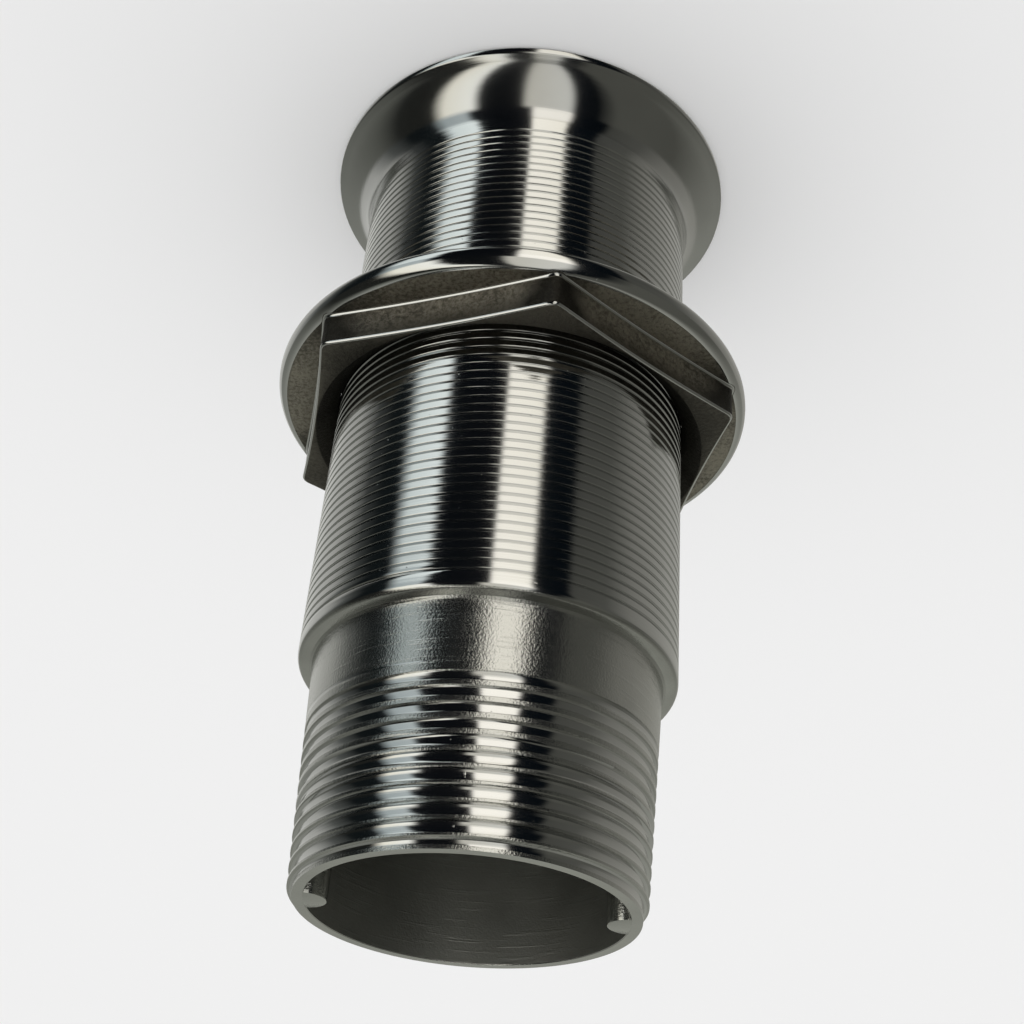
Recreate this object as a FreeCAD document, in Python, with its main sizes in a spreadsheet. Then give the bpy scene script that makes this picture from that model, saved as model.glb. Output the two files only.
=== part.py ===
# Stainless thru-hull fitting with its flanged hex nut.
# Row frame: Z runs along the waterway, head face at z = 0, tail end at z = overall_length.
# Every length is in millimetres and every angle in degrees.
import FreeCAD
import Part
import math
import os

from FreeCAD import Vector

os.makedirs("parts", exist_ok=True)
doc = FreeCAD.newDocument("ThruHull")

# alias, value, meaning
DIMENSIONS = [
    ("overall_length", 131.0, "head face to tail end"),
    ("rim_radius", 34.0, "outside of the flared head"),
    ("rim_edge", 1.3, "straight land on the head's rim"),
    ("mouth_radius", 30.8, "bell mouth at the head face"),
    ("mouth_depth", 14.0, "where the bell mouth meets the bore"),
    ("mouth_round", 15.25, "bell mouth's curve in section"),
    ("flare_end", 9.2, "where the flare meets the barrel"),
    ("flare_round", 9.6, "flare's hollow curve in section"),
    ("bore_radius", 21.6, "waterway"),
    ("barrel_radius", 27.4, "crest of the barrel thread"),
    ("barrel_pitch", 1.5, "barrel thread"),
    ("barrel_thread_depth", 0.36, "shallow 60 degree groove, broad crests"),
    ("barrel_thread_start", 10.55, "first groove's edge"),
    ("shoulder_start", 96.3, "barrel thread ends in a shoulder"),
    ("shoulder_end", 97.5, "foot of the shoulder"),
    ("tail_root_radius", 25.15, "cast band at the shoulder's foot"),
    ("tail_end_radius", 23.9, "tapered pipe thread, small end"),
    ("tail_chamfer", 0.7, "break at the tail end"),
    ("tail_pitch", 2.2087, "11.5 threads per inch"),
    ("tail_thread_depth", 0.75, "groove depth at the tail end"),
    ("tail_root_flat", 0.9, "broad bottom of a tail groove"),
    ("tail_thread_reach", 25.0, "tail end to the last trace of thread"),
    ("flank_slope", 0.57735, "half a groove's width for each millimetre of depth"),
    ("groove_root_flat", 0.06, "flat in the bottom of a barrel groove"),
    ("lug_reach", 3.15, "wrench lug from bore wall to nose"),
    ("lug_width", 6.0, "wrench lug"),
    ("lug_length", 30.0, "wrench lug from the tail end inward"),
    ("nut_seat", 46.5, "clamping face of the nut as shown"),
    ("flange_radius", 37.5, "nut's round flange"),
    ("flange_low", 0.9, "rounded lower edge of the flange"),
    ("flange_widest", 1.5, "widest circle above the seat"),
    ("flange_top", 3.5, "flange's upper face above the seat"),
    ("flange_flat_radius", 36.0, "where the upper face rounds over"),
    ("hex_top", 9.0, "hexagon's face above the seat"),
    ("hex_corner_radius", 36.5, "hexagon's circumscribed circle"),
    ("hex_hollow_round", 320.0, "flats are slightly hollow"),
    ("hex_turn", 21.8, "first corner from the X axis"),
    ("hex_edge_round", 0.8, "hexagon's upright edges"),
    ("hex_top_break", 0.4, "hexagon's upper edges"),
    ("nut_thread_gap", 0.16, "radial room between the two threads"),
    ("nut_countersink", 3.4, "cone at the nut's upper bore"),
    ("lip_outer_radius", 31.0, "nut's plain lip ring"),
    ("lip_inner_radius", 27.8, "lip ring's hole, clear of the crests"),
    ("lip_height", 1.8, "lip ring"),
    ("lip_gap", 0.06, "running room around the lip ring"),
]
dims = doc.addObject("Spreadsheet::Sheet", "dims")
dims.set("A1", "dimension")
dims.set("B1", "value")
dims.set("C1", "meaning")
for row, (alias, value, meaning) in enumerate(DIMENSIONS, start=2):
    dims.set(f"A{row}", alias)
    dims.set(f"B{row}", str(value))
    dims.set(f"C{row}", meaning)
    dims.setAlias(f"B{row}", alias)
doc.recompute()


def bound(expression):
    """Each alias in an expression, pointed at the sheet."""
    for alias in sorted((row[0] for row in DIMENSIONS), key=len, reverse=True):
        expression = expression.replace(alias, "@" + str([r[0] for r in DIMENSIONS].index(alias)) + "@")
    for index, (alias, _, _) in enumerate(DIMENSIONS):
        expression = expression.replace(f"@{index}@", f"dims.{alias}")
    return expression


def number(expression):
    return float(dims.evalExpression(bound(expression).replace("dims.", "")))


def new_body(label):
    body = doc.addObject("PartDesign::Body", label)
    body.Label = label
    return body


def origin_part(body, role):
    return next(o for o in body.Origin.OriginFeatures if getattr(o, "Role", "") == role)


def new_sketch(body, name, plane, height=None):
    sketch = doc.addObject("Sketcher::SketchObject", name)
    body.addObject(sketch)
    sketch.AttachmentSupport = [(origin_part(body, plane), "")]
    sketch.MapMode = "FlatFace"
    if height:
        sketch.setExpression("AttachmentOffset.Base.z", bound(height))
    return sketch


def pin_point(sketch, edge, end, x, y):
    """Hold one end of an edge at a place given by two expressions."""
    from Sketcher import Constraint
    for kind, place in (("DistanceX", x), ("DistanceY", y)):
        if abs(number(place)) < 1e-9:
            axis = -2 if kind == "DistanceX" else -1
            sketch.addConstraint(Constraint("PointOnObject", edge, end, axis))
            continue
        index = sketch.addConstraint(Constraint(kind, -1, 1, edge, end, number(place)))
        sketch.setExpression(f"Constraints[{index}]", bound(place))


def outline(sketch, corners, rounds=None):
    """A closed outline through corners. rounds maps an edge's number to (radius, side): an arc whose
    centre lies to the left (side 1) or right (side -1) of the way from its corner to the next."""
    from Sketcher import Constraint
    rounds = rounds or {}
    places = [Vector(number(x), number(y), 0) for x, y in corners]
    ends = []
    for index, start in enumerate(places):
        stop = places[(index + 1) % len(places)]
        if index not in rounds:
            edge = sketch.addGeometry(Part.LineSegment(start, stop), False)
            ends.append((edge, 1, 2))
            continue
        radius, side = number(rounds[index][0]), rounds[index][1]
        along = stop - start
        across = Vector(-along.y, along.x, 0).normalize() * side
        centre = (start + stop) * 0.5 + across * math.sqrt(radius ** 2 - (along.Length / 2) ** 2)
        first, last = (start, stop) if side > 0 else (stop, start)
        from_angle, to_angle = (math.atan2(p.y - centre.y, p.x - centre.x) for p in (first, last))
        if to_angle < from_angle:
            to_angle += 2 * math.pi
        circle = Part.Circle(centre, Vector(0, 0, 1), radius)
        edge = sketch.addGeometry(Part.ArcOfCircle(circle, from_angle, to_angle), False)
        ends.append((edge, 1, 2) if side > 0 else (edge, 2, 1))
        hold = sketch.addConstraint(Constraint("Radius", edge, radius))
        sketch.setExpression(f"Constraints[{hold}]", bound(rounds[index][0]))
    for index, (edge, _, last) in enumerate(ends):
        following, first, _ = ends[(index + 1) % len(ends)]
        sketch.addConstraint(Constraint("Coincident", edge, last, following, first))
    for (edge, first, _), (x, y) in zip(ends, corners):
        pin_point(sketch, edge, first, x, y)
    return sketch


def feature(body, kind, name, **values):
    made = doc.addObject(f"PartDesign::{kind}", name)
    body.addObject(made)
    for key, value in values.items():
        setattr(made, key, value)
    return made


def about_axis(body):
    return (origin_part(body, "Z_Axis"), [""])


def turned(body, sketch, name):
    made = feature(body, "Revolution", name, Profile=sketch, ReferenceAxis=about_axis(body), Angle=360)
    doc.recompute()
    return made


def thread(body, name, groove, pitch, length, cone=0.0, backward=False):
    """A right-hand helical groove whose section is the outline groove, in the XZ plane."""
    sketch = new_sketch(body, name + "_section", "XZ_Plane")
    outline(sketch, groove)
    doc.recompute()
    before = body.Shape.Volume
    cut = feature(body, "SubtractiveHelix", name, Profile=sketch, ReferenceAxis=about_axis(body),
                  Mode=0, LeftHanded=False, Reversed=backward, Angle=cone)
    cut.setExpression("Pitch", bound(pitch))
    cut.setExpression("Height", bound(length))
    doc.recompute()
    assert cut.Shape.Volume < before - 1.0, name + " cut nothing"
    return cut


# ---- fitting body: one investment casting, turned and threaded ----
fitting = new_body("fitting_body")
section = new_sketch(fitting, "fitting_section", "XZ_Plane")
outline(section, [
    ("mouth_radius", "0"),
    ("rim_radius", "0"),
    ("rim_radius", "rim_edge"),
    ("barrel_radius", "flare_end"),
    ("barrel_radius", "shoulder_start"),
    ("tail_root_radius", "shoulder_end"),
    ("tail_end_radius", "overall_length - tail_chamfer"),
    ("tail_end_radius - tail_chamfer", "overall_length"),
    ("bore_radius", "overall_length"),
    ("bore_radius", "mouth_depth"),
], {2: ("flare_round", -1), 9: ("mouth_round", 1)})
doc.recompute()
turned(fitting, section, "fitting_turned")

# two wrench lugs stand inside the bore, flush with the tail end
lug_section = new_sketch(fitting, "lug_section", "XY_Plane", "overall_length - lug_length")
outline(lug_section, [
    ("bore_radius + 1", "lug_width / 2"),
    ("bore_radius - lug_reach + lug_width / 2", "lug_width / 2"),
    ("bore_radius - lug_reach + lug_width / 2", "-lug_width / 2"),
    ("bore_radius + 1", "-lug_width / 2"),
], {1: ("lug_width / 2 + 0.0001", 1)})
doc.recompute()
lug = feature(fitting, "Pad", "lug", Profile=lug_section)
lug.setExpression("Length", bound("lug_length"))
doc.recompute()
lugs = feature(fitting, "PolarPattern", "lugs", Originals=[lug], Axis=about_axis(fitting),
               Angle=360, Occurrences=2)
fitting.Tip = lugs
doc.recompute()

# barrel thread, from the flare's foot until it runs out through the shoulder
half_groove = "(groove_root_flat / 2 + barrel_thread_depth * flank_slope)"
first_groove = f"(barrel_thread_start + {half_groove})"
thread(fitting, "barrel_thread", [
    ("barrel_radius - barrel_thread_depth", f"{first_groove} - groove_root_flat / 2"),
    ("barrel_radius + 0.2", f"{first_groove} - {half_groove} - 0.2 * flank_slope"),
    ("barrel_radius + 0.2", f"{first_groove} + {half_groove} + 0.2 * flank_slope"),
    ("barrel_radius - barrel_thread_depth", f"{first_groove} + groove_root_flat / 2"),
], "barrel_pitch", "58 * barrel_pitch")

# tail thread, full depth at the tail end and running out where the tool left the casting
surface_slope = (number("tail_root_radius - tail_end_radius")
                 / number("overall_length - tail_chamfer - shoulder_end"))
tail_surface = number("tail_end_radius") + surface_slope * number("tail_thread_reach - tail_chamfer")
tail_groove_root = number("tail_end_radius - tail_thread_depth")
root_slope = (tail_surface - tail_groove_root) / number("tail_thread_reach")
tail_root = "(tail_end_radius - tail_thread_depth)"
thread(fitting, "tail_thread", [
    (tail_root, "overall_length - tail_root_flat / 2"),
    (f"{tail_root} + 1", "overall_length - tail_root_flat / 2 - flank_slope"),
    (f"{tail_root} + 1", "overall_length + tail_root_flat / 2 + flank_slope"),
    (tail_root, "overall_length + tail_root_flat / 2"),
], "tail_pitch", "12 * tail_pitch", cone=math.degrees(math.atan(root_slope)), backward=True)

# ---- flanged nut: round flange, hollow-sided hexagon, helical bore ----
nut = new_body("flange_nut")
nut_section = new_sketch(nut, "flange_section", "XZ_Plane")
nut_bore = "(barrel_radius - barrel_thread_depth + nut_thread_gap)"
outline(nut_section, [
    ("lip_outer_radius + lip_gap", "nut_seat"),
    ("flange_radius - flange_low", "nut_seat"),
    ("flange_radius", "nut_seat + flange_widest"),
    ("flange_flat_radius", "nut_seat + flange_top"),
    (nut_bore, "nut_seat + flange_top"),
    (nut_bore, "nut_seat + lip_height + lip_gap"),
    ("lip_outer_radius + lip_gap", "nut_seat + lip_height + lip_gap"),
], {1: ("flange_widest * 1.02", 1), 2: ("flange_top - flange_widest + 0.1", 1)})
doc.recompute()
turned(nut, nut_section, "flange_turned")

hex_section = new_sketch(nut, "hex_section", "XY_Plane", "nut_seat + flange_top - 0.5")
corners = [(f"hex_corner_radius * cos(hex_turn + {60 * k})", f"hex_corner_radius * sin(hex_turn + {60 * k})")
           for k in range(6)]
outline(hex_section, corners, {k: ("hex_hollow_round", -1) for k in range(6)})
doc.recompute()
hexagon = feature(nut, "Pad", "hexagon", Profile=hex_section)
hexagon.setExpression("Length", bound("hex_top - flange_top + 0.5"))
doc.recompute()

# open the hexagon to the bore, with a cone at its upper end
bore_section = new_sketch(nut, "nut_bore_section", "XZ_Plane")
outline(bore_section, [
    ("0", "nut_seat - 1"),
    (nut_bore, "nut_seat - 1"),
    (nut_bore, "nut_seat + hex_top - nut_countersink"),
    (f"{nut_bore} + nut_countersink + 0.5", "nut_seat + hex_top + 0.5"),
    ("0", "nut_seat + hex_top + 0.5"),
])
doc.recompute()
nut_before = nut.Shape.Volume
bored = feature(nut, "Groove", "nut_bored", Profile=bore_section, ReferenceAxis=about_axis(nut), Angle=360)
doc.recompute()
assert bored.Shape.Volume < nut_before - 1.0, "nut bore cut nothing"


def edges_where(shape, wanted):
    return [f"Edge{i + 1}" for i, edge in enumerate(shape.Edges) if wanted(edge)]


hex_z = number("nut_seat + hex_top")
flange_z = number("nut_seat + flange_top")
corner_radius = number("hex_corner_radius")


def upright(edge):
    ends = [vertex.Point for vertex in edge.Vertexes]
    return (len(ends) == 2 and abs(ends[0].z - ends[1].z) > 1.0
            and all(abs(math.hypot(p.x, p.y) - corner_radius) < 0.05 for p in ends))


rounded = feature(nut, "Fillet", "hex_corners", Base=(bored, edges_where(bored.Shape, upright)))
rounded.setExpression("Radius", bound("hex_edge_round"))
doc.recompute()


def on_hex_face(edge):
    box = edge.BoundBox
    away = min(math.hypot(v.X, v.Y) for v in edge.Vertexes)
    return abs(box.ZMin - hex_z) < 0.01 and abs(box.ZMax - hex_z) < 0.01 and away > 31.0


broken = feature(nut, "Chamfer", "hex_top_edges", Base=(rounded, edges_where(rounded.Shape, on_hex_face)))
broken.setExpression("Size", bound("hex_top_break"))
doc.recompute()

# the nut's groove receives the barrel's ridges with nut_thread_gap to spare
nut_root = "(barrel_radius + nut_thread_gap)"
ridge_flat = f"(barrel_pitch / 2 - {half_groove})"
nut_groove = f"({first_groove} + barrel_pitch * 22.5)"
thread(nut, "nut_thread", [
    (nut_root, f"{nut_groove} + {ridge_flat}"),
    (f"{nut_bore} - 0.1", f"{nut_groove} + {ridge_flat} + (barrel_thread_depth + 0.1) * flank_slope"),
    (f"{nut_bore} - 0.1", f"{nut_groove} - {ridge_flat} - (barrel_thread_depth + 0.1) * flank_slope"),
    (nut_root, f"{nut_groove} - {ridge_flat}"),
], "barrel_pitch", "9 * barrel_pitch")

# ---- plain lip in the nut's seat, which carries the nut's travel along the barrel ----
lip = new_body("nut_lip_ring")
lip_section = new_sketch(lip, "lip_section", "XZ_Plane")
outline(lip_section, [
    ("lip_inner_radius + 0.4", "nut_seat"),
    ("lip_outer_radius", "nut_seat"),
    ("lip_outer_radius", "nut_seat + lip_height"),
    ("lip_inner_radius", "nut_seat + lip_height"),
    ("lip_inner_radius", "nut_seat + 0.4"),
])
doc.recompute()
turned(lip, lip_section, "lip_turned")

# ---- check and write ----
for item in doc.Objects:
    wrong = [word for word in item.State if word in ("Invalid", "Error")]
    assert not wrong, f"{item.Label}: {wrong}"
for body in (fitting, nut, lip):
    shape = body.Shape
    assert not shape.isNull() and shape.isValid() and len(shape.Solids) == 1, body.Label
    shape.exportStep(f"parts/{body.Label}.step")
    print(body.Label, "faces", len(shape.Faces), "mm3", round(shape.Volume, 1))
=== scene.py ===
"""Looks of a stainless thru-hull fitting: polished threads, cast bands, flanged nut, studio."""
import math
from functools import partial

import bmesh
import bpy
from bpy.props import FloatProperty, FloatVectorProperty, IntProperty, PointerProperty
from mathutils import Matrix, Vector


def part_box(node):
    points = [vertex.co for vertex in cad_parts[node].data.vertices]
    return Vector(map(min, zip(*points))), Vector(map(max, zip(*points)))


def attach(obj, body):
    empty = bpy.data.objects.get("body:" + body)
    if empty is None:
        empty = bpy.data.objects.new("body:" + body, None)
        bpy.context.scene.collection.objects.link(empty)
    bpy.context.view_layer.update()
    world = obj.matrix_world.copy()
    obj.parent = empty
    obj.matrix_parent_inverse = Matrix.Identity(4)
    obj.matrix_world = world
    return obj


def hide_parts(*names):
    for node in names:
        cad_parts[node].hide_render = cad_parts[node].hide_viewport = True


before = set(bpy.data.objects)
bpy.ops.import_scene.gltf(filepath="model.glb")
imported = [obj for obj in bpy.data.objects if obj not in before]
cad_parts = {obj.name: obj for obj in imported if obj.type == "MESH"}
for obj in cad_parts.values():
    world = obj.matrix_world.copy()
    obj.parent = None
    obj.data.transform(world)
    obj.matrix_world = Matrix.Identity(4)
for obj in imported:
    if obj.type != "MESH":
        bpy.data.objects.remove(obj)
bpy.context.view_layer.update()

bl_info = {
    "name": "Thru-hull fitting",
    "version": (1, 0, 0),
    "blender": (4, 5, 0),
    "location": "View3D > Sidebar > Thru-hull",
    "description": "Builds the looks of a flared-head thru-hull fitting on its packed model",
    "category": "Object",
}

MM = 0.001
NODE_BOX = {node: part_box(node) for node in ("fitting_body", "flange_nut", "nut_lip_ring")}
LENGTH = NODE_BOX["fitting_body"][1].z
RIM_RADIUS = NODE_BOX["fitting_body"][1].x
NUT_SEAT = NODE_BOX["flange_nut"][0].z
NUT_TOP = NODE_BOX["flange_nut"][1].z
FLANGE_RADIUS = NODE_BOX["flange_nut"][1].x
SEAM = 2e-6  # vertices closer than this are one
GROOVE_FLAT = 0.03 * MM  # half the flat at the bottom of the barrel's groove
GROOVE_SLOPE = 1.732  # the groove's sides stand 60 degrees apart
TAIL_FULL_DEPTH = 0.72 * MM  # the tail's grooves are at their widest when this deep
END_CHAMFER = 0.75 * MM  # at the tail end, across the wall


# ---------------------------------------------------------------- sizes and colours

def length(name, text, metres):
    return FloatProperty(name=name, description=text, default=metres, unit="LENGTH", precision=5)


class FittingSizes(bpy.types.PropertyGroup):
    barrel_radius: length("Barrel radius", "Crest of the barrel thread", 27.4 * MM)
    barrel_pitch: length("Barrel pitch", "Barrel thread", 1.5 * MM)
    barrel_depth: length("Barrel groove", "Depth of the barrel's groove", 0.36 * MM)
    barrel_start: length("Thread start", "First whole groove's middle on the X axis", 10.788 * MM)
    flare_end: length("Flare end", "Where the flare meets the barrel", 9.2 * MM)
    shoulder_start: length("Shoulder", "Barrel's end", 96.3 * MM)
    shoulder_end: length("Shoulder foot", "Where the cast band starts", 97.6 * MM)
    tail_root_radius: length("Cast band radius", "At the shoulder's foot", 25.15 * MM)
    tail_end_radius: length("Tail radius", "Small end of the tapered tail", 23.9 * MM)
    tail_pitch: length("Tail pitch", "11.5 threads per inch", 2.2087 * MM)
    tail_reach: length("Tail thread length", "Tail end to the last trace of a groove", 25.0 * MM)
    bore_radius: length("Bore radius", "Waterway", 21.6 * MM)
    mouth_radius: length("Mouth radius", "Bell mouth at the head face", 30.8 * MM)
    mouth_depth: length("Mouth depth", "Where the bell mouth meets the bore", 14.0 * MM)
    lug_reach: length("Lug reach", "Wrench lug, wall to nose", 3.15 * MM)
    lug_width: length("Lug width", "Wrench lug", 6.0 * MM)
    lug_length: length("Lug length", "Wrench lug from the tail end inward", 30.0 * MM)
    steps: IntProperty(name="Steps", description="Facets round the fitting", default=120, min=24)


class NutSizes(bpy.types.PropertyGroup):
    corner_radius: length("Corner radius", "Hexagon's circumscribed circle", 36.5 * MM)
    hollow: length("Hollow", "How far the middle of a flat is dished", 0.52 * MM)
    corner_limit: length("Corner wear", "Radius at which the corners are rounded off", 36.2 * MM)
    turn: FloatProperty(name="Turn", description="First corner from the X axis",
                        default=math.radians(21.8), subtype="ANGLE")
    scoop: length("Scoop", "How far a flat is dished from flange to top", 0.45 * MM)
    cove: length("Cove", "Fillet between a flat and the flange", 0.4 * MM)
    flange_flat: length("Flange flat", "Where the flange's upper face rounds over", 36.0 * MM)
    flange_top: length("Flange top", "Flange's upper face above the seat", 3.5 * MM)
    countersink: length("Countersink", "Radius of the cone at the upper face", 30.6 * MM)
    bore: length("Nut bore", "Clear of the barrel's crests", 27.5 * MM)
    steps: IntProperty(name="Steps", description="Facets round the nut", default=360, min=72)


def colour(name, text, code):
    return FloatVectorProperty(name=name, description=text, default=linear(code), subtype="COLOR",
                               size=4, min=0.0, max=1.0)


def linear(code):
    """An sRGB hex colour as linear red, green, blue and alpha."""
    parts = [int(code[i:i + 2], 16) / 255 for i in (1, 3, 5)]
    light = [c / 12.92 if c <= 0.04045 else ((c + 0.055) / 1.055) ** 2.4 for c in parts]
    return (*light, 1.0)


class Finishes(bpy.types.PropertyGroup):
    polished: colour("Polished steel", "Turned and polished faces", "#d6d7d6")
    satin: colour("Cast satin steel", "Cast band, tail crests and bore", "#b4b5b2")
    grainy: colour("Cast nut steel", "Nut's cast faces", "#aba69b")
    floor: colour("Floor", "Pale studio floor", "#ececec")


def sizes():
    return bpy.context.scene.thru_hull_fitting


def nut_sizes():
    return bpy.context.scene.thru_hull_nut


def finishes():
    return bpy.context.scene.thru_hull_finishes


# ---------------------------------------------------------------- mesh helpers

def chain(bm, places):
    """Vertices joined in a row, in the half plane through +X. places are (radius, height)."""
    verts = [bm.verts.new((r, 0.0, z)) for r, z in places]
    edges = [bm.edges.new(pair) for pair in zip(verts, verts[1:])]
    return verts, edges


def spin(bm, geom, steps, rise=0.0):
    bmesh.ops.spin(bm, geom=geom, cent=(0, 0, 0), axis=(0, 0, 1), dvec=(0, 0, rise / steps),
                   angle=math.tau, steps=steps, use_merge=rise == 0.0, use_duplicate=False)


def revolve(bm, places, steps):
    verts, edges = chain(bm, places)
    spin(bm, verts + edges, steps)


def curve(centre, radius, start, stop, count):
    """Places on an arc, by its centre (radius, height) and its angles in degrees."""
    turns = [math.radians(start + (stop - start) * i / count) for i in range(count + 1)]
    return [(centre[0] + radius * math.cos(t), centre[1] + radius * math.sin(t)) for t in turns]


def angle_of(vert, steps):
    """Turn from +X of the facet line that a vertex stands on."""
    turn = math.atan2(vert.co.y, vert.co.x) % math.tau
    return round(turn / (math.tau / steps)) % steps * math.tau / steps


def threaded_band(bm, first, pitch, turns, within, floor_z, ceiling_z, steps):
    """A helical skin: a column of edges, spun once round while it rises one pitch, so that each
    turn meets the next. Its two open ends are drawn out to level rings. within holds the heights
    of a turn's rows, as parts of a pitch."""
    heights = [first + pitch * (turn + part) for turn in range(turns) for part in within]
    heights.append(first + pitch * turns)
    verts, edges = chain(bm, [(30 * MM, z) for z in heights])
    before = set(bm.verts) - set(verts)
    spin(bm, verts + edges, steps, rise=pitch)
    skin = [v for v in bm.verts if v not in before]
    bmesh.ops.remove_doubles(bm, verts=skin, dist=SEAM)
    skin = [v for v in bm.verts if v not in before]
    middle = first + pitch * turns / 2
    rims = [e for e in bm.edges if e.is_boundary and e.verts[0] not in before]
    for level, below in ((floor_z, True), (ceiling_z, False)):
        rim = [e for e in rims if (e.verts[0].co.z < middle) == below]
        drawn = bmesh.ops.extrude_edge_only(bm, edges=rim)["geom"]
        ends = [v for v in drawn if isinstance(v, bmesh.types.BMVert)]
        for v in ends:
            v.co.z = level
        bmesh.ops.remove_doubles(bm, verts=ends, dist=SEAM)
    return [v for v in bm.verts if v not in before]


def settle(bm):
    """Close the seams, then turn every face outward."""
    bmesh.ops.remove_doubles(bm, verts=bm.verts, dist=SEAM)
    bmesh.ops.dissolve_degenerate(bm, edges=bm.edges, dist=1e-7)
    bmesh.ops.recalc_face_normals(bm, faces=bm.faces)


def finished(name, bm, materials, crease=28.0):
    mesh = bpy.data.meshes.new(name)
    for material in materials:
        mesh.materials.append(material)
    for face in bm.faces:
        face.smooth = True
    bm.to_mesh(mesh)
    bm.free()
    mesh.set_sharp_from_angle(angle=math.radians(crease))
    piece = bpy.data.objects.new(name, mesh)
    bpy.context.collection.objects.link(piece)
    return piece


def once(things):
    """Each thing once, in the order they came, which a set would lose from run to run."""
    return list(dict.fromkeys(things))


def smoothstep(low, high, value):
    t = min(1.0, max(0.0, (value - low) / (high - low)))
    return t * t * (3.0 - 2.0 * t)


# ---------------------------------------------------------------- materials

MIX_A, MIX_B, MIX_RESULT = 6, 7, 2  # the colour sockets of a Mix node


def add(tree, kind, settings=None, links=None):
    """A node with its properties or sockets set, and its inputs linked from (node, output)."""
    node = tree.nodes.new(kind)
    for key, value in (settings or {}).items():
        if isinstance(key, str) and hasattr(node, key):
            setattr(node, key, value)
        else:
            node.inputs[key].default_value = value
    for key, (source, output) in (links or {}).items():
        tree.links.new(source.outputs[output], node.inputs[key])
    return node


def steel(name, base, rough):
    """A metal with its shader wired up, and the link that places a pattern on the piece."""
    made = bpy.data.materials.get(name) or bpy.data.materials.new(name)
    made.use_nodes = True
    tree = made.node_tree
    tree.nodes.clear()
    shader = add(tree, "ShaderNodeBsdfPrincipled",
                 {"Base Color": base, "Metallic": 1.0, "Roughness": rough})
    add(tree, "ShaderNodeOutputMaterial", links={"Surface": (shader, "BSDF")})
    here = {"Vector": (add(tree, "ShaderNodeTexCoord"), "Object")}
    return made, tree, shader, here


def wire(tree, shader, rough, tint, bump):
    """Roughness, colour and bump into the shader."""
    tree.links.new(rough.outputs["Result"], shader.inputs["Roughness"])
    tree.links.new(tint.outputs[MIX_RESULT], shader.inputs["Base Color"])
    tree.links.new(bump.outputs["Normal"], shader.inputs["Normal"])


def shade(base, amount):
    return tuple(c * amount for c in base[:3]) + (1.0,)


def turned_polished_steel():
    # Stainless steel turned on a lathe and polished: sharp dark-and-bright reflections, broken by
    # feed marks that run round the barrel, and the odd nick.
    base = finishes().polished
    made, tree, shader, here = steel("turned_polished_stainless_steel", base, 0.08)
    # feed marks are about 0.1 mm apart; drawn 0.3 mm apart, the finest that shows
    marks_at = add(tree, "ShaderNodeMapping", {"Scale": (18.0, 18.0, 3300.0)}, here)
    marks = add(tree, "ShaderNodeTexNoise", {"Scale": 1.0, "Detail": 2.0, "Roughness": 0.6},
                {"Vector": (marks_at, "Vector")})
    # nicks of 0.5 mm or so
    nicks = add(tree, "ShaderNodeTexNoise", {"Scale": 1500.0, "Detail": 3.0}, here)
    nick = add(tree, "ShaderNodeMapRange", {"From Min": 0.74, "From Max": 0.8},
               {"Value": (nicks, "Fac")})
    # a film of handling, 11 mm from cloud to cloud
    film = add(tree, "ShaderNodeTexNoise", {"Scale": 90.0, "Detail": 3.0}, here)
    rough = add(tree, "ShaderNodeMapRange", {"To Min": 0.06, "To Max": 0.13},
                {"Value": (film, "Fac")})
    tint = add(tree, "ShaderNodeMix",
               {"data_type": "RGBA", MIX_A: shade(base, 0.88), MIX_B: shade(base, 1.0)},
               {"Factor": (film, "Fac")})
    lines = add(tree, "ShaderNodeBump", {"Strength": 0.6, "Distance": 0.00002},
                {"Height": (marks, "Fac")})
    bump = add(tree, "ShaderNodeBump", {"Strength": 0.5, "Distance": 0.00003},
               {"Height": (nick, "Result"), "Normal": (lines, "Normal")})
    wire(tree, shader, rough, tint, bump)
    return made


def brushed_turned_steel():
    # The flare, turned and then rubbed with abrasive paper: hazy reflections, drawn out along
    # rings and clouded where the paper rubbed less.
    base = finishes().polished
    made, tree, shader, here = steel("brushed_turned_stainless_steel", base, 0.15)
    # scratches are about 0.05 mm apart; drawn 0.3 mm apart so that they show
    rings_at = add(tree, "ShaderNodeMapping", {"Scale": (40.0, 40.0, 3000.0)}, here)
    rings = add(tree, "ShaderNodeTexNoise", {"Scale": 1.0, "Detail": 3.0, "Roughness": 0.6},
                {"Vector": (rings_at, "Vector")})
    # clouds 14 mm apart
    cloud = add(tree, "ShaderNodeTexNoise", {"Scale": 70.0, "Detail": 4.0}, here)
    rough = add(tree, "ShaderNodeMapRange", {"To Min": 0.07, "To Max": 0.15},
                {"Value": (cloud, "Fac")})
    tint = add(tree, "ShaderNodeMix",
               {"data_type": "RGBA", MIX_A: shade(base, 0.7), MIX_B: shade(base, 0.95)},
               {"Factor": (cloud, "Fac")})
    bump = add(tree, "ShaderNodeBump", {"Strength": 0.5, "Distance": 0.00002},
               {"Height": (rings, "Fac")})
    wire(tree, shader, rough, tint, bump)
    return made


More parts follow.
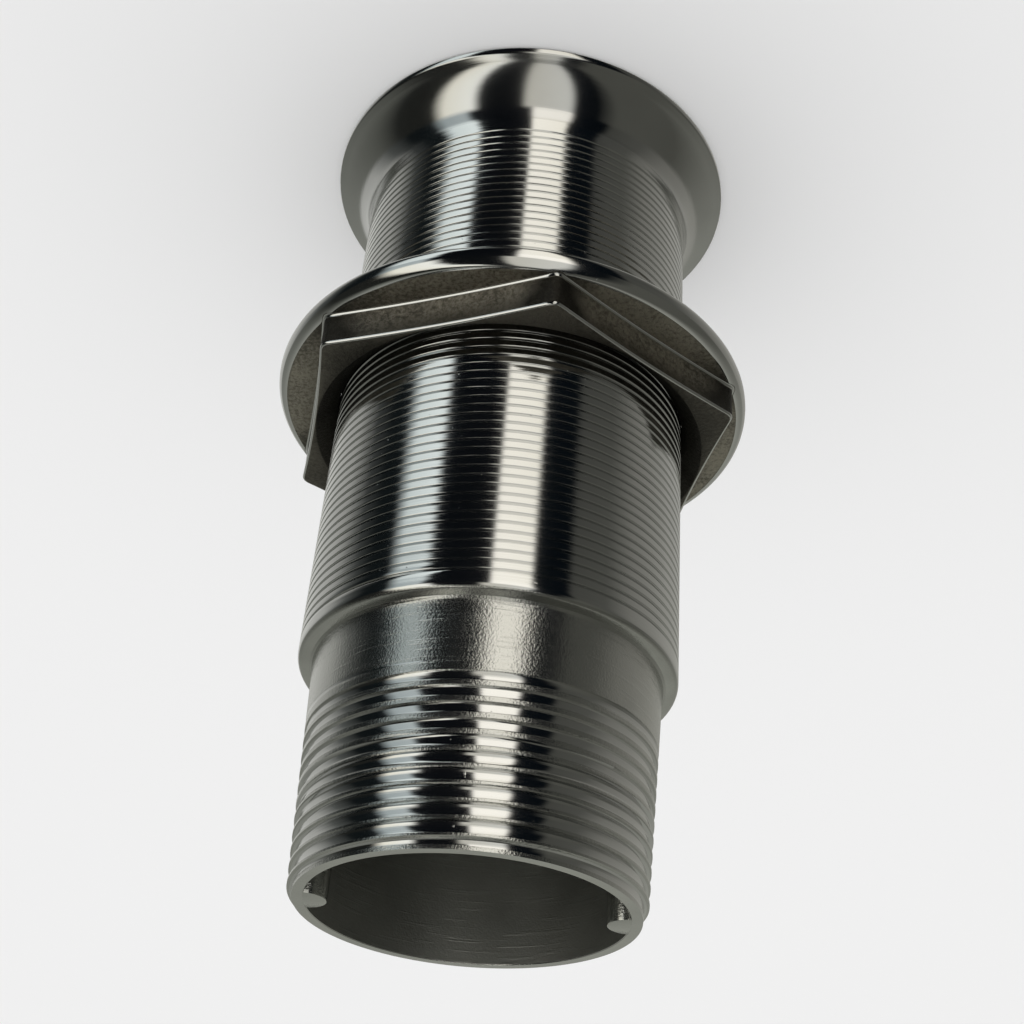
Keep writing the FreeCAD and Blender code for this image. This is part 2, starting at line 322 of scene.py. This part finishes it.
def cast_satin_steel(name="cast_satin_stainless_steel", smoothest=0.14, roughest=0.24):
    # Stainless steel as investment cast and lightly blasted: a soft grey sheen over a skin like
    # fine orange peel that breaks a highlight into sparkling crumbs. The bore's skin is duller.
    base = finishes().satin
    made, tree, shader, here = steel(name, base, roughest)
    # the skin's grain is 0.3 mm
    grain = add(tree, "ShaderNodeTexNoise", {"Scale": 3200.0, "Detail": 2.0, "Roughness": 0.5},
                here)
    # scuffs run round the piece, some millimetres long
    scuffs_at = add(tree, "ShaderNodeMapping", {"Scale": (120.0, 120.0, 2200.0)}, here)
    scuffs = add(tree, "ShaderNodeTexNoise", {"Scale": 1.0, "Detail": 3.0},
                 {"Vector": (scuffs_at, "Vector")})
    scuff = add(tree, "ShaderNodeMapRange", {"From Min": 0.56, "From Max": 0.66},
                {"Value": (scuffs, "Fac")})
    # clouds 8 mm apart
    cloud = add(tree, "ShaderNodeTexNoise", {"Scale": 120.0, "Detail": 4.0}, here)
    rough = add(tree, "ShaderNodeMapRange", {"To Min": smoothest, "To Max": roughest},
                {"Value": (cloud, "Fac")})
    tint = add(tree, "ShaderNodeMix",
               {"data_type": "RGBA", MIX_A: shade(base, 0.95), MIX_B: shade(base, 1.35)},
               {"Factor": (cloud, "Fac")})
    peel = add(tree, "ShaderNodeBump", {"Strength": 0.6, "Distance": 0.00005},
               {"Height": (grain, "Fac")})
    bump = add(tree, "ShaderNodeBump", {"Strength": 0.35, "Distance": 0.00004},
               {"Height": (scuff, "Result"), "Normal": (peel, "Normal")})
    wire(tree, shader, rough, tint, bump)
    return made


def cast_grainy_steel():
    # The nut's casting, not blasted: darker, browner and coarser, with stains, and with painted
    # shade in its corners and hollows.
    base = finishes().grainy
    made, tree, shader, here = steel("cast_grainy_stainless_steel", base, 0.45)
    # grain of 0.6 mm with finer grain in it
    grain = add(tree, "ShaderNodeTexNoise", {"Scale": 1600.0, "Detail": 4.0, "Roughness": 0.7},
                here)
    # stains 13 mm apart
    stain = add(tree, "ShaderNodeTexNoise", {"Scale": 75.0, "Detail": 5.0, "Roughness": 0.6},
                here)
    # pits of 0.3 to 0.6 mm hold dirt
    pits = add(tree, "ShaderNodeMapRange",
               {"From Min": 0.38, "From Max": 0.62, "To Min": -0.45, "To Max": 0.45},
               {"Value": (grain, "Fac")})
    patches = add(tree, "ShaderNodeMapRange", {"From Min": 0.32, "From Max": 0.68},
                  {"Value": (stain, "Fac")})
    mottle = add(tree, "ShaderNodeMath", {"operation": "ADD", "use_clamp": True},
                 {0: (pits, "Result"), 1: (patches, "Result")})
    rough = add(tree, "ShaderNodeMapRange", {"To Min": 0.38, "To Max": 0.55},
                {"Value": (stain, "Fac")})
    mottled = add(tree, "ShaderNodeMix",
                  {"data_type": "RGBA", MIX_A: shade(base, 0.42), MIX_B: shade(base, 1.15)},
                  {"Factor": (mottle, "Value")})
    # painted shade, read from the nut's vertex attribute: darker towards the corners, on the
    # flats' upper parts and on the top face, and darkest in the countersink and round the thread's
    # mouth; the grain makes its edge ragged
    painted_shade = add(tree, "ShaderNodeAttribute", {"attribute_name": "painted_shade"})
    edge = add(tree, "ShaderNodeMath", {"operation": "MULTIPLY_ADD", 1: 0.5, 2: -0.25},
               {0: (grain, "Fac")})
    ragged = add(tree, "ShaderNodeMath", {"operation": "ADD"},
                 {0: (edge, "Value"), 1: (painted_shade, "Fac")})
    cover = add(tree, "ShaderNodeMapRange", {"From Min": 0.05, "From Max": 1.0},
                {"Value": (ragged, "Value")})
    # the painted shade darkens the mottled steel almost to black
    tint = add(tree, "ShaderNodeMix", {"data_type": "RGBA", MIX_B: shade(base, 0.1)},
               {"Factor": (cover, "Result"), MIX_A: (mottled, MIX_RESULT)})
    bump = add(tree, "ShaderNodeBump", {"Strength": 1.0, "Distance": 0.00022},
               {"Height": (grain, "Fac")})
    wire(tree, shader, rough, tint, bump)
    return made


def studio_paper():
    # Matt card: pale, with no sheen that would show a hot spot.
    made = bpy.data.materials.new("matt_studio_card")
    made.use_nodes = True
    shader = made.node_tree.nodes["Principled BSDF"]
    shader.inputs["Base Color"].default_value = finishes().floor
    shader.inputs["Roughness"].default_value = 0.9
    shader.inputs["Specular IOR Level"].default_value = 0.1
    return made


# ---------------------------------------------------------------- fitting body

def barrel_groove(part, pitch, depth):
    """Depth of the barrel's narrow groove at a part of the pitch, 0.5 being its middle."""
    away = abs(part - 0.5) * pitch
    return min(depth, max(0.0, depth - (away - GROOVE_FLAT) * GROOVE_SLOPE))


def tail_groove(part, depth):
    """A broad groove with a nearly flat bottom, wider where it is deeper."""
    half = (0.20 + 0.21 * min(1.0, depth / TAIL_FULL_DEPTH)) if depth > 0 else 0.0
    away = abs(part - 0.5)
    side = 1.0 - smoothstep(half - 0.10, half + 0.03, away)
    return depth * side * (1.0 - 0.25 * (away / 0.5) ** 2)


def tail_surface(z):
    """Radius of the cast band and of the tail's crests, which lie on one taper."""
    s = sizes()
    part = (z - s.shoulder_end) / (LENGTH - 0.7 * MM - s.shoulder_end)
    return s.tail_root_radius + (s.tail_end_radius - s.tail_root_radius) * part


def tail_depth(z):
    """The tool leaves the casting over two turns, and cuts deeper towards the tail end."""
    s = sizes()
    start = LENGTH - s.tail_reach
    part = (z - start) / s.tail_reach
    return (0.34 * smoothstep(0.0, 0.14, part) + 0.38 * max(0.0, part)) * MM if part > 0 else 0.0


def part_of_pitch(vert, first, pitch, steps):
    """Where a vertex lies between two crests of a helix, from 0 to 1."""
    turn = angle_of(vert, steps) / math.tau
    return ((vert.co.z - first) / pitch - turn) % 1.0


def put_at_radius(vert, radius, steps=None):
    angle = angle_of(vert, steps) if steps else math.atan2(vert.co.y, vert.co.x)
    vert.co.x, vert.co.y = radius * math.cos(angle), radius * math.sin(angle)


POLISHED, CAST, BRUSHED, BORE = range(4)  # the fitting's skins, by material slot


class THRUHULL_OT_fitting_body(bpy.types.Operator):
    """Cast and turned body: flared head, threaded barrel, cast band, tail, bore and lugs"""
    bl_idname = "thru_hull.fitting_body"
    bl_label = "Fitting body"

    def execute(self, context):
        s = sizes()
        bm = bmesh.new()
        steps = s.steps
        skins = [turned_polished_steel(), cast_satin_steel(), brushed_turned_steel(),
                 cast_satin_steel("cast_bore_stainless_steel", 0.4, 0.5)]

        # barrel thread, half a pitch of crest on each side of a groove
        first = s.barrel_start - s.barrel_pitch / 2
        turns = int((s.shoulder_start - 0.7 * MM - first) / s.barrel_pitch) - 1
        edge = (GROOVE_FLAT + s.barrel_depth / GROOVE_SLOPE) / s.barrel_pitch
        within = (0.0, 0.5 - edge * 1.2, 0.5 - edge * 0.9, 0.48,
                  0.52, 0.5 + edge * 0.9, 0.5 + edge * 1.2)
        last = s.shoulder_start - 0.45 * MM
        skin = threaded_band(bm, first, s.barrel_pitch, turns, within, s.flare_end, last, steps)
        for v in skin:
            part = part_of_pitch(v, first, s.barrel_pitch, steps)
            middle = v.co.z - (part - 0.5) * s.barrel_pitch
            fade = smoothstep(first + 0.5 * s.barrel_pitch, first + s.barrel_pitch, middle)
            fade *= 1.0 - smoothstep(last - s.barrel_pitch, last - 0.5 * s.barrel_pitch, middle)
            groove = fade * barrel_groove(part, s.barrel_pitch, s.barrel_depth)
            put_at_radius(v, s.barrel_radius - groove, steps)

        # tail thread, cut off level below the end's chamfer
        tail_first = LENGTH - s.tail_pitch / 2
        while tail_first > LENGTH - s.tail_reach - s.tail_pitch / 2:
            tail_first -= s.tail_pitch
        rows = math.ceil((LENGTH - tail_first) / s.tail_pitch)
        band_end = tail_first - 0.1 * MM
        tail_within = [i / 14 for i in range(14)]
        tail = threaded_band(bm, tail_first, s.tail_pitch, rows, tail_within, band_end,
                             LENGTH + 5 * MM, steps)
        grooved = set()
        for v in tail:
            part = part_of_pitch(v, tail_first, s.tail_pitch, steps)
            groove = tail_groove(part, tail_depth(v.co.z))
            if groove > 0.02 * MM:
                grooved.add(v)
            put_at_radius(v, tail_surface(v.co.z) - groove, steps)
        around = once(f for v in tail for f in v.link_faces)
        for face in around:
            face.material_index = POLISHED if sum(v in grooved for v in face.verts) >= 3 else CAST
        trim = LENGTH - 0.55 * MM
        upper = [f for f in around if f.calc_center_median().z > LENGTH - 6 * MM]
        geom = upper + once(e for f in upper for e in f.edges)
        geom += once(v for f in upper for v in f.verts)
        cut = bmesh.ops.bisect_plane(bm, geom=geom, plane_co=(0, 0, trim), plane_no=(0, 0, 1),
                                     clear_outer=True)
        rim = [e for e in cut["geom_cut"] if isinstance(e, bmesh.types.BMEdge)]
        # chamfer, end face, and the bore down to the bell mouth
        for inward, level, index in ((s.tail_end_radius - END_CHAMFER, LENGTH, CAST),
                                     (s.bore_radius + 0.12 * MM, LENGTH, CAST),
                                     (s.bore_radius, LENGTH - 0.12 * MM, CAST),
                                     (s.bore_radius, s.mouth_depth, BORE)):
            drawn = bmesh.ops.extrude_edge_only(bm, edges=rim)["geom"]
            verts = [v for v in drawn if isinstance(v, bmesh.types.BMVert)]
            for v in verts:
                v.co.z = level
                put_at_radius(v, inward, steps if level < LENGTH else None)
            for face in (f for f in drawn if isinstance(f, bmesh.types.BMFace)):
                face.material_index = index
            rim = [e for e in drawn if isinstance(e, bmesh.types.BMEdge)
                   and all(v in verts for v in e.verts)]

        # shoulder and cast band
        old = set(bm.faces)
        foot = s.shoulder_end
        rounded = curve((s.barrel_radius - 0.9 * MM, s.shoulder_start), 0.9 * MM, 0, 70, 6)
        band = [(s.barrel_radius, last)] + rounded
        band += [(s.tail_root_radius + 0.45 * MM, foot - 0.25 * MM),
                 (s.tail_root_radius + 0.12 * MM, foot + 0.1 * MM)]
        band += [(tail_surface(z), z) for z in (foot + 0.7 * MM, foot + 2.5 * MM, foot + 5 * MM)]
        band += [(tail_surface(band_end), band_end)]
        revolve(bm, band, steps)
        for face in set(bm.faces) - old:
            above = face.calc_center_median().z > s.shoulder_start + 0.5 * MM
            face.material_index = CAST if above else POLISHED

        # flared head and bell mouth
        old = set(bm.faces)
        revolve(bm, [(s.barrel_radius, s.flare_end)] + self.flare(s), steps)
        for face in set(bm.faces) - old:
            face.material_index = BRUSHED
        settle(bm)

        self.lugs(bm, s)
        piece = finished("fitting", bm, skins)
        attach(piece, "fitting")
        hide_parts("fitting_body")
        return {"FINISHED"}

    def flare(self, s):
        """Section from the barrel round the rim and down the bell mouth to the bore."""
        radius = 9.6 * MM
        low, high = Vector((RIM_RADIUS, 1.3 * MM)), Vector((s.barrel_radius, s.flare_end))
        along = high - low
        across = Vector((along.y, -along.x)).normalized()
        centre = (low + high) / 2 + across * math.sqrt(radius ** 2 - (along.length / 2) ** 2)
        start, stop = (math.degrees(math.atan2(p.y - centre.y, p.x - centre.x)) % 360
                       for p in (high, low))
        places = curve(centre, radius, start, stop, 16)[1:-1]
        places += curve((RIM_RADIUS - 0.3 * MM, 1.0 * MM), 0.3 * MM, 80, 0, 3)
        places += curve((RIM_RADIUS - 0.35 * MM, 0.35 * MM), 0.35 * MM, 0, -90, 4)
        places += curve((s.mouth_radius + 0.2 * MM, 0.2 * MM), 0.2 * MM, -90, -150, 3)
        mouth = 15.25 * MM
        centre = (s.bore_radius + mouth, s.mouth_depth)
        start = math.degrees(math.acos((s.mouth_radius + 0.03 * MM - centre[0]) / mouth))
        return places + curve(centre, mouth, -start, -180, 16)[1:]

    def lugs(self, bm, s):
        """Two round-nosed wrench lugs, a hair below the end face so that no faces coincide."""
        half = s.lug_width / 2
        nose = s.bore_radius - s.lug_reach + half
        top = LENGTH - 0.02 * MM
        for side in (1, -1):
            old = set(bm.faces)
            start = bm.verts.new((nose * side, half, top))
            arc = bmesh.ops.spin(bm, geom=[start], cent=(nose * side, 0, 0), axis=(0, 0, 1),
                                 angle=math.pi * side, steps=12)["geom_last"][0]
            for end in (start, arc):
                root = bmesh.ops.extrude_vert_indiv(bm, verts=[end])["verts"][0]
                root.co.x = (s.bore_radius + 0.7 * MM) * side
            outline = [e for e in bm.edges if e.is_wire]
            cap = bmesh.ops.contextual_create(bm, geom=outline)["faces"]
            if not cap:
                raise RuntimeError("a lug's outline didn't close")
            drawn = bmesh.ops.extrude_face_region(bm, geom=cap, use_keep_orig=True)["geom"]
            foot = [g for g in drawn if isinstance(g, bmesh.types.BMVert)]
            bmesh.ops.translate(bm, verts=foot, vec=(0, 0, -s.lug_length))
            made = [f for f in bm.faces if f not in old]
            bmesh.ops.recalc_face_normals(bm, faces=made)
            brims = once(e for f in made if abs(f.normal.z) > 0.9 for e in f.edges)
            bmesh.ops.bevel(bm, geom=brims, offset=0.25 * MM, segments=2, affect="EDGES",
                            profile=0.5, material=-1)
            for face in (f for f in bm.faces if f not in old):
                face.material_index = CAST


# ---------------------------------------------------------------- nut

def flat_distance(angle):
    """Distance from the axis to the nut's hollow flat, with its corners worn round."""
    n = nut_sizes()
    sixth = math.tau / 6
    off = (angle - n.turn) % sixth - sixth / 2
    half_flat = n.corner_radius / 2
    apothem = n.corner_radius * math.cos(math.radians(30))
    reach = apothem / math.cos(off)
    for _ in range(4):
        x = reach * math.sin(off) / half_flat
        reach = (apothem - n.hollow * max(0.0, 1.0 - x * x)) / math.cos(off)
    worn = 0.12 * MM
    past = abs(reach - n.corner_limit) / worn
    return min(reach, n.corner_limit) - worn * math.log1p(math.exp(-past))


def flange_height(radius):
    """Height of the flange's upper face, which rounds over at the rim."""
    n = nut_sizes()
    top = NUT_SEAT + n.flange_top
    part = min(1.0, max(0.0, (radius - n.flange_flat) / (FLANGE_RADIUS - n.flange_flat)))
    return top - 2.0 * MM * (1.0 - math.sqrt(max(0.0, 1.0 - part * part)))


class THRUHULL_OT_flanged_nut(bpy.types.Operator):
    """One cast nut: polished round flange, hollow-sided hexagon, countersunk threaded bore"""
    bl_idname = "thru_hull.flanged_nut"
    bl_label = "Flanged nut"

    def execute(self, context):
        n = nut_sizes()
        cast, polished = cast_grainy_steel(), turned_polished_steel()
        rows = self.rows(n)
        bm = bmesh.new()
        row_of = bm.verts.layers.int.new("row")
        # per vertex, how much painted shade darkens the nut's cast steel
        painted_shade = bm.verts.layers.float.new("painted_shade")
        verts, edges = chain(bm, [(FLANGE_RADIUS, i * MM) for i in range(len(rows))])
        for index, v in enumerate(verts):
            v[row_of] = index
        edges.append(bm.edges.new((verts[-1], verts[0])))
        spin(bm, verts + edges, n.steps)
        for v in bm.verts:
            angle = angle_of(v, n.steps)
            place, _, painted_shade_amount = rows[v[row_of]]
            radius, v.co.z = place(angle)
            v.co.x, v.co.y = radius * math.cos(angle), radius * math.sin(angle)
            v[painted_shade] = painted_shade_amount(angle) if callable(painted_shade_amount) else painted_shade_amount
        for face in bm.faces:
            face.material_index = int(all(rows[v[row_of]][1] for v in face.verts))
        settle(bm)
        piece = finished("flanged_nut", bm, [cast, polished], crease=35.0)
        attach(piece, "nut")
        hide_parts("flange_nut")
        return {"FINISHED"}

    def rows(self, n):
        """The nut's section from the lip's recess round the outside and back in. For each row: a
        function from the angle to (radius, height), whether it is polished, and how much painted
        shade darkens it."""
        recess = NODE_BOX["nut_lip_ring"][1].x + 0.06 * MM
        edge = 0.35 * MM
        pitch = sizes().barrel_pitch
        rows = []

        # a row has a little painted shade unless it is given its own
        def row(place, polished=False, painted_shade=0.3):
            rows.append((place if callable(place) else lambda a: place, polished, painted_shade))

        def to_corner(a):
            """0 in the middle of a flat, 1 at a corner."""
            return abs((a - n.turn) % (math.tau / 6) / (math.tau / 12) - 1.0)

        def foot(a):
            return flat_distance(a) + n.cove

        def brim(a):
            return max(n.flange_flat, foot(a) + 0.1 * MM)

        def rim(a, part):
            radius = FLANGE_RADIUS - (FLANGE_RADIUS - brim(a)) * part
            return radius, flange_height(radius)

        def near_brim(a):
            radius = foot(a) + (brim(a) - foot(a)) * 0.9
            return radius, flange_height(radius)

        def near_foot(a):
            radius = foot(a) + 0.04 * MM
            return radius, flange_height(radius)

        def fillet(a, turn):
            return (flat_distance(a) + n.cove * (1 - math.sin(turn)),
                    flange_height(foot(a)) + n.cove * (1 - math.cos(turn)))

        def wall(a, part):
            """A flat is scooped from flange to top as well as along its length."""
            base = flange_height(foot(a)) + n.cove
            scoop = n.scoop * (1 - to_corner(a) ** 4) * 4 * part * (1 - part)
            return flat_distance(a) - scoop, base + (NUT_TOP - edge - base) * part

        # painted shade on a flat: darker towards its corners and towards its top edge
        def wall_painted_shade(a, part):
            painted_shade_amount = 1.1 * smoothstep(0.62, 0.97, to_corner(a))
            return min(1.0, painted_shade_amount + 0.5 * smoothstep(0.25, 0.95, part))

        def top_edge(a, turn):
            return (flat_distance(a) - edge * (1 - math.cos(turn)),
                    NUT_TOP - edge * (1 - math.sin(turn)))

        def thread(a, z):
            wave = math.cos((z / pitch - a / math.tau) * math.tau)
            return n.bore + 0.09 * MM * (1 + wave), z

        row((recess, NUT_SEAT))
        row((FLANGE_RADIUS - 2.4 * MM, NUT_SEAT), True)
        for t in (math.radians(90 * i / 6) for i in range(7)):
            row((FLANGE_RADIUS - MM * (1 - math.sin(t)),
                 NUT_SEAT + 1.3 * MM * (1 - math.cos(t))), True)
        for part in (1 - math.cos(math.radians(90 * i / 8)) for i in range(9)):
            row(partial(rim, part=part), True)
        # painted shade on the flange, darker towards the hexagon's corners
        row(near_brim, False, lambda a: 0.75 * smoothstep(0.55, 1.0, to_corner(a)))
        row(near_foot, False, lambda a: 0.1 + 0.75 * smoothstep(0.55, 1.0, to_corner(a)))
        # fillet at the foot of a flat, rubbed bright
        for turn in (math.radians(90 * i / 5) for i in range(6)):
            row(partial(fillet, turn=turn), True)
        for part in (0.04, 0.12, 0.25, 0.4, 0.55, 0.7, 0.85, 0.95, 1.0):
            row(partial(wall, part=part), part == 1.0, partial(wall_painted_shade, part=part))
        for turn in (math.radians(t) for t in (22, 45, 68, 90)):
            row(partial(top_edge, turn=turn), True)
        # painted shade on the top face, deepening into the countersink and down the bore's thread
        row(lambda a: (flat_distance(a) - 0.42 * MM, NUT_TOP), False, 0.62)
        mouth = n.countersink + 0.08 * MM
        row(lambda a: (min(mouth, flat_distance(a) - 0.5 * MM), NUT_TOP), False, 0.8)
        low = NUT_TOP - (n.countersink - n.bore - 0.1 * MM)
        row((n.countersink - 0.06 * MM, NUT_TOP - 0.08 * MM), False, 1.0)
        row((n.bore + 0.1 * MM, low), False, 1.0)
        # inside thread, kept clear of the barrel's crests
        bottom, count = NUT_SEAT + 1.9 * MM, 24
        top = low - 0.1 * MM
        for i in range(count + 1):
            row(partial(thread, z=top + (bottom - low + 0.1 * MM) * i / count), False, 1.0)
        row((recess, bottom), False, 1.0)
        return rows


class THRUHULL_OT_nut_lip(bpy.types.Operator):
    """Plain lip at the mouth of the nut's bore, which carries the nut's travel"""
    bl_idname = "thru_hull.nut_lip"
    bl_label = "Nut lip"

    def execute(self, context):
        low, high = NODE_BOX["nut_lip_ring"]
        inner, outer, r = 27.8 * MM, high.x, 0.12 * MM
        section = curve((outer - r, low.z + r), r, -90, 0, 3)
        section += curve((outer - r, high.z - r), r, 0, 90, 3)
        section += curve((inner + r, high.z - r), r, 90, 180, 3)
        section += [(inner, low.z + 0.4 * MM), (inner + 0.4 * MM, low.z)]
        bm = bmesh.new()
        verts, edges = chain(bm, section)
        edges.append(bm.edges.new((verts[-1], verts[0])))
        spin(bm, verts + edges, 120)
        settle(bm)
        piece = finished("nut_lip", bm, [turned_polished_steel()])
        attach(piece, "nut_carrier")
        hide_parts("nut_lip_ring")
        return {"FINISHED"}


# ---------------------------------------------------------------- stage

# The room's walls, which the steel reflects, by bearing in degrees from +X: a cool and a warm soft
# box in the dark, and grey walls. LOW is well below the horizon, MID just below it.
WALLS_LOW = (
    (-180, "#6a6964"), (-160, "#454541"), (-137, "#3d3d3a"), (-133, "#060a0e"), (-113, "#060a0e"),
    (-110, "#efeadd"), (-88.5, "#f4efe4"), (-86, "#07090c"), (-51.5, "#07090c"),
    (-47.5, "#dde4e3"), (-30, "#ccd4d3"), (-22, "#0b1012"), (-9, "#101415"), (4, "#343635"),
    (22, "#8e8e8a"), (60, "#b0b0ac"), (100, "#8c8c88"), (140, "#8a8984"), (180, "#6a6964"))
WALLS_MID = (
    (-180, "#6a6964"), (-160, "#4a4a46"), (-137, "#41413d"), (-133, "#060a0e"), (-113, "#060a0e"),
    (-110, "#fffaf0"), (-88.5, "#fffaf0"), (-86, "#090b0e"), (-50, "#090b0e"), (-46, "#aab2b3"),
    (-32, "#9ca5a6"), (-24, "#0b1012"), (-6, "#101415"), (10, "#4a4c4a"), (30, "#9a9a96"),
    (60, "#b0b0ac"), (100, "#8c8c86"), (140, "#85847e"), (180, "#6a6964"))
WALLS_HIGH = (
    (-180, "#4a4a45"), (-138, "#4a4a45"), (-126, "#0a0d10"), (-113, "#0a0d10"), (-109, "#c9c8c2"),
    (-84, "#bdbab0"), (-80, "#0a0c0e"), (-56, "#0a0c0e"), (-51, "#f2f1ea"), (-34, "#eae6d8"),
    (-26, "#171816"), (-2, "#20211f"), (14, "#50514c"), (60, "#7c7d77"), (100, "#8b8c85"),
    (150, "#6a6a64"), (180, "#4a4a45"))


def sunshine(name, turn, spread, strength):
    """A very broad, even light, which lights the floor alone."""
    light = bpy.data.lights.new(name, "SUN")
    light.energy, light.angle = strength, math.radians(spread)
    lamp = bpy.data.objects.new(name, light)
    lamp.rotation_euler = [math.radians(a) for a in turn]
    lamp.location.z = 1.0
    lamp.visible_glossy = False
    bpy.context.collection.objects.link(lamp)


# A band of walls gives way to the next between two heights, as the sine of the angle up.
WALLS = ((None, None, WALLS_LOW), (-0.56, -0.46, WALLS_MID), (-0.2, -0.08, WALLS_HIGH))


class THRUHULL_OT_stage(bpy.types.Operator):
    """Pale floor, soft studio lights and the camera"""
    bl_idname = "thru_hull.stage"
    bl_label = "Studio"

    def execute(self, context):
        self.floor()
        sunshine("broad_light", (0, 0, 0), 175.0, 3.2)
        sunshine("side_light", (0, 32, 0), 90.0, 0.1)
        context.scene.world = self.room()
        context.scene.view_settings.view_transform = "Standard"
        self.camera(context)
        return {"FINISHED"}

    def floor(self):
        bm = bmesh.new()
        bmesh.ops.create_grid(bm, x_segments=1, y_segments=1, size=12.0)
        bmesh.ops.translate(bm, verts=bm.verts, vec=(0, 0, -0.0002))
        floor = finished("floor", bm, [studio_paper()])
        # the floor keeps out of reflections: polished steel shows the dark room and its soft boxes
        floor.visible_glossy = False
        floor.visible_shadow = False

    def room(self):
        world = bpy.data.worlds.new("studio_room")
        world.use_nodes = True
        tree = world.node_tree
        tree.nodes.clear()
        way = add(tree, "ShaderNodeTexCoord")
        parts = add(tree, "ShaderNodeSeparateXYZ", links={"Vector": (way, "Generated")})
        angle = add(tree, "ShaderNodeMath", {"operation": "ARCTAN2"},
                    {0: (parts, "Y"), 1: (parts, "X")})
        bearing = add(tree, "ShaderNodeMapRange", {"From Min": -math.pi, "From Max": math.pi},
                      {"Value": (angle, "Value")})
        room = None
        for low, high, stops in WALLS:
            ramp = add(tree, "ShaderNodeValToRGB", links={"Fac": (bearing, "Result")})
            elements = ramp.color_ramp.elements
            for degrees, _ in stops[1:-1]:
                elements.new((degrees + 180) / 360)
            for element, (_, code) in zip(elements, stops):
                element.color = linear(code)
            if room is None:
                room, output = ramp, "Color"
                continue
            height = add(tree, "ShaderNodeMapRange", {"From Min": low, "From Max": high},
                         {"Value": (parts, "Z")})
            room = add(tree, "ShaderNodeMix", {"data_type": "RGBA"},
                       {"Factor": (height, "Result"), MIX_A: (room, output),
                        MIX_B: (ramp, "Color")})
            output = MIX_RESULT
        # floor and ceiling of the room are dim
        steep = add(tree, "ShaderNodeMath", {"operation": "ABSOLUTE"}, {0: (parts, "Z")})
        dim = add(tree, "ShaderNodeMapRange", {"From Min": 0.96, "From Max": 0.995},
                  {"Value": (steep, "Value")})
        whole = add(tree, "ShaderNodeMix", {"data_type": "RGBA", MIX_B: linear("#3a3a37")},
                    {"Factor": (dim, "Result"), MIX_A: (room, output)})
        light = add(tree, "ShaderNodeBackground", {"Strength": 1.45},
                    {"Color": (whole, MIX_RESULT)})
        add(tree, "ShaderNodeOutputWorld", links={"Surface": (light, "Background")})
        world.cycles_visibility.diffuse = False
        return world

    def camera(self, context):
        lens = bpy.data.cameras.new("camera")
        lens.sensor_width, lens.lens = 36.0, 52.996
        lens.clip_start, lens.clip_end = 0.01, 40.0
        camera = bpy.data.objects.new("camera", lens)
        camera.location = (-0.00149, -0.194793, 0.196116)
        camera.rotation_euler = [math.radians(a) for a in (-56.3995, 4.01875, -177.334)]
        context.collection.objects.link(camera)
        context.scene.camera = camera


# ---------------------------------------------------------------- panel and registration

BUILD_ORDER = (THRUHULL_OT_fitting_body, THRUHULL_OT_flanged_nut, THRUHULL_OT_nut_lip,
               THRUHULL_OT_stage)


class THRUHULL_PT_panel(bpy.types.Panel):
    """Sizes, finishes and the pieces"""
    bl_idname = "THRUHULL_PT_panel"
    bl_label = "Thru-hull fitting"
    bl_space_type = "VIEW_3D"
    bl_region_type = "UI"
    bl_category = "Thru-hull"

    def draw(self, context):
        for group in (sizes(), nut_sizes(), finishes()):
            box = self.layout.box()
            for key in group.bl_rna.properties.keys():
                if key not in ("rna_type", "name"):
                    box.prop(group, key)
        for operator in BUILD_ORDER:
            self.layout.operator(operator.bl_idname)


GROUPS = {"thru_hull_fitting": FittingSizes, "thru_hull_nut": NutSizes,
          "thru_hull_finishes": Finishes}


def register():
    for made in (*GROUPS.values(), *BUILD_ORDER, THRUHULL_PT_panel):
        bpy.utils.register_class(made)
    for name, group in GROUPS.items():
        setattr(bpy.types.Scene, name, PointerProperty(type=group))


def unregister():
    for name in GROUPS:
        delattr(bpy.types.Scene, name)
    for made in (THRUHULL_PT_panel, *reversed(BUILD_ORDER), *reversed(GROUPS.values())):
        bpy.utils.unregister_class(made)


def main():
    register()
    bpy.ops.thru_hull.fitting_body()
    bpy.ops.thru_hull.flanged_nut()
    bpy.ops.thru_hull.nut_lip()
    bpy.ops.thru_hull.stage()


if __name__ == "__main__":
    main()
